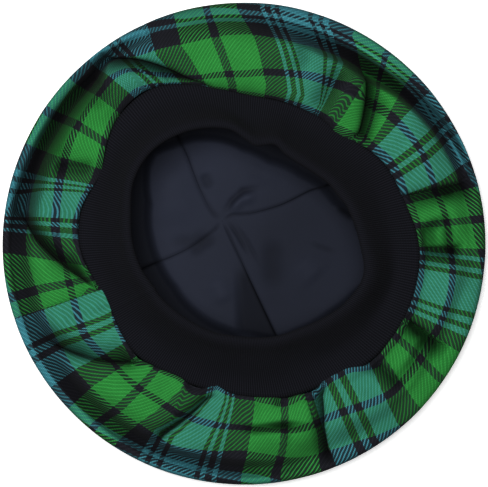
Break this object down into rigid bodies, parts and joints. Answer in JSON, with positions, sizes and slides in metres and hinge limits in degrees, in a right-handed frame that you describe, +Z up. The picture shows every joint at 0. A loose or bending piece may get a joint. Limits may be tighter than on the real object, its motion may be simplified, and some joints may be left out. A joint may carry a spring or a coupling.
{
  "type": "tam o shanter",
  "caption": "Soft round tartan cap with a ribbed knit headband and a dark lining, lying crown down with its open side up.",
  "frame": {"origin": "on the floor under the middle of the rim, at the bottom of the crown", "axes": "+Z up out of the open side, +X to the right and +Y to the top of the reference view from above"},
  "size_m": [0.2806, 0.2804, 0.0573],
  "materials": {
    "tartan_cloth": "twill wool-blend cloth in a traditional green, blue and black tartan",
    "black_knit": "matt ribbed knit",
    "dark_lining": "plain woven lining with a faint sheen"
  },
  "bodies": {
    "root": {"crown_top": "tartan_cloth", "side_panel_1": "tartan_cloth", "side_panel_2": "tartan_cloth", "side_panel_3": "tartan_cloth", "side_panel_4": "tartan_cloth", "headband": "black_knit", "lining_gore_1": "dark_lining", "lining_gore_2": "dark_lining", "lining_gore_3": "dark_lining", "lining_gore_4": "dark_lining"}
  },
  "joints": []
}
